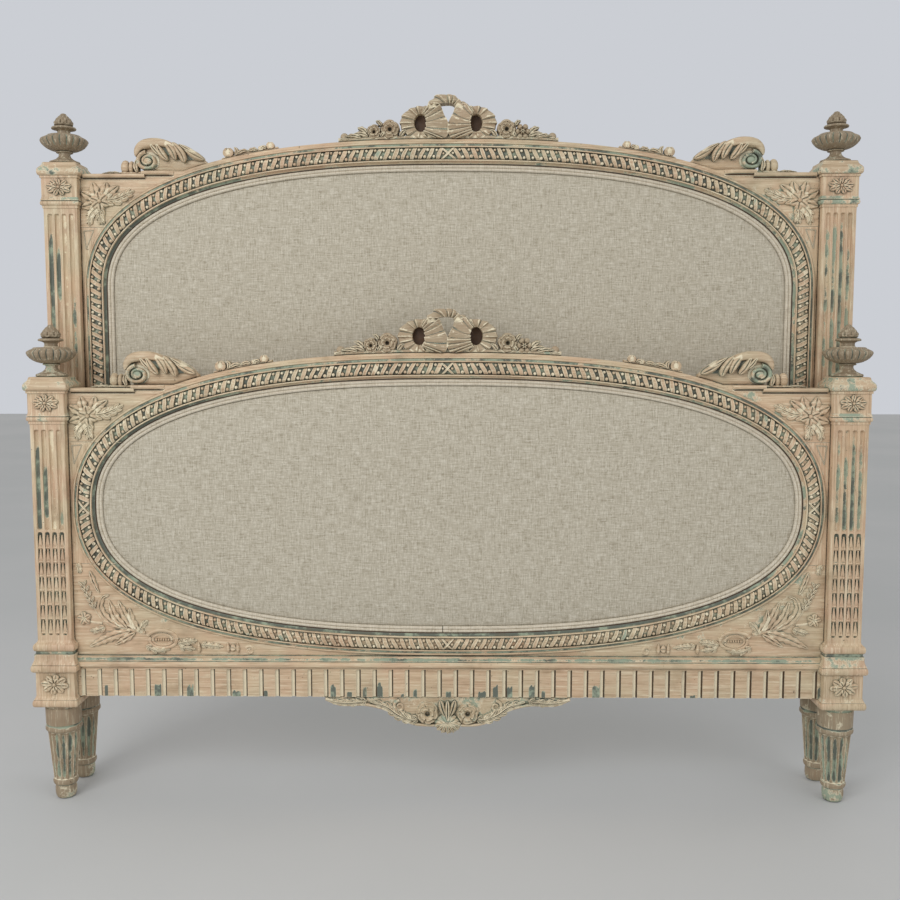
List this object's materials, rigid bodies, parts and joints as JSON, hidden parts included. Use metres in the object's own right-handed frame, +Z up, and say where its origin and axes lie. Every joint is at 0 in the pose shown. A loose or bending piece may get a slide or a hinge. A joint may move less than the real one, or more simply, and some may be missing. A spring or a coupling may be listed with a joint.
{
  "type": "bedstead",
  "caption": "Carved and painted bedstead with an arched headboard and an oval footboard, both padded in linen, fluted posts, urn finials and ribbon crests.",
  "frame": {"origin": "on the floor under the middle of the pair of boards", "axes": "+X to the right seen from the front, +Y from the footboard to the headboard, +Z up"},
  "size_m": [1.708, 0.203, 1.4563],
  "materials": {
    "painted_wood": "worn matte paint over gesso",
    "linen": "plain woven linen",
    "welt_linen": "double welt in linen",
    "iron": "dull dark iron"
  },
  "bodies": {
    "headboard": {"head_back_panel": "linen", "head_bottom_rail": "painted_wood", "head_cap_left": "painted_wood", "head_cap_right": "painted_wood", "head_cornice_left": "painted_wood", "head_cornice_right": "painted_wood", "head_crest": "painted_wood", "head_finial_left": "painted_wood", "head_finial_right": "painted_wood", "head_leg_left": "painted_wood", "head_leg_right": "painted_wood", "head_pad": "linen", "head_post_left": "painted_wood", "head_post_right": "painted_wood", "head_rail_plate_left": "iron", "head_rail_plate_right": "iron", "head_scroll_left": "painted_wood", "head_scroll_right": "painted_wood", "head_spray_left": "painted_wood", "head_spray_right": "painted_wood", "head_stile_left": "painted_wood", "head_stile_right": "painted_wood", "head_top_rail": "painted_wood", "head_welt": "welt_linen"},
    "footboard": {"foot_apron_pendant": "painted_wood", "foot_apron_rail": "painted_wood", "foot_back_panel": "linen", "foot_base_moulding": "painted_wood", "foot_bottom_rail": "painted_wood", "foot_cap_left": "painted_wood", "foot_cap_right": "painted_wood", "foot_cornice_left": "painted_wood", "foot_cornice_right": "painted_wood", "foot_crest": "painted_wood", "foot_finial_left": "painted_wood", "foot_finial_right": "painted_wood", "foot_leg_left": "painted_wood", "foot_leg_right": "painted_wood", "foot_pad": "linen", "foot_post_left": "painted_wood", "foot_post_right": "painted_wood", "foot_rail_plate_left": "iron", "foot_rail_plate_right": "iron", "foot_scroll_left": "painted_wood", "foot_scroll_right": "painted_wood", "foot_spray_left": "painted_wood", "foot_spray_right": "painted_wood", "foot_stile_left": "painted_wood", "foot_stile_right": "painted_wood", "foot_top_rail": "painted_wood", "foot_welt": "welt_linen"}
  },
  "joints": [
    {"name": "footboard_slide", "type": "slide", "parent": "headboard", "child": "footboard", "axis": [0, -1, 0], "range_m": [0, 1.99]}
  ]
}
